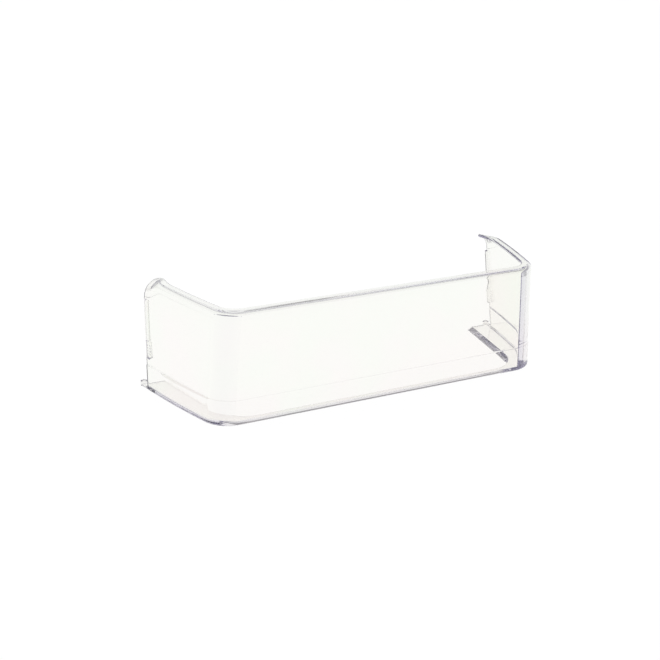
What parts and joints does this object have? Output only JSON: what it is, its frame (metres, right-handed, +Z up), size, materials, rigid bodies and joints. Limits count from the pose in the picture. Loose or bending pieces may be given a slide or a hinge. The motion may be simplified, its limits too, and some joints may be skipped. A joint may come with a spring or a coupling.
{
  "type": "refrigerator door guard",
  "caption": "Clear plastic U-shaped door guard: a long front wall, rounded corners, a short wing at each end, an inward rim along the top and a narrow foot below.",
  "frame": {"origin": "middle of the footprint, on the surface the guard stands on", "axes": "+X along the front wall, +Y from the front wall towards the open back, +Z up"},
  "size_m": [0.3756, 0.1152, 0.101],
  "materials": {
    "clear_plastic": "clear, glossy, smooth; edges and thick lines look greyer than the walls"
  },
  "bodies": {
    "root": {"door_guard": "clear_plastic"}
  },
  "joints": []
}
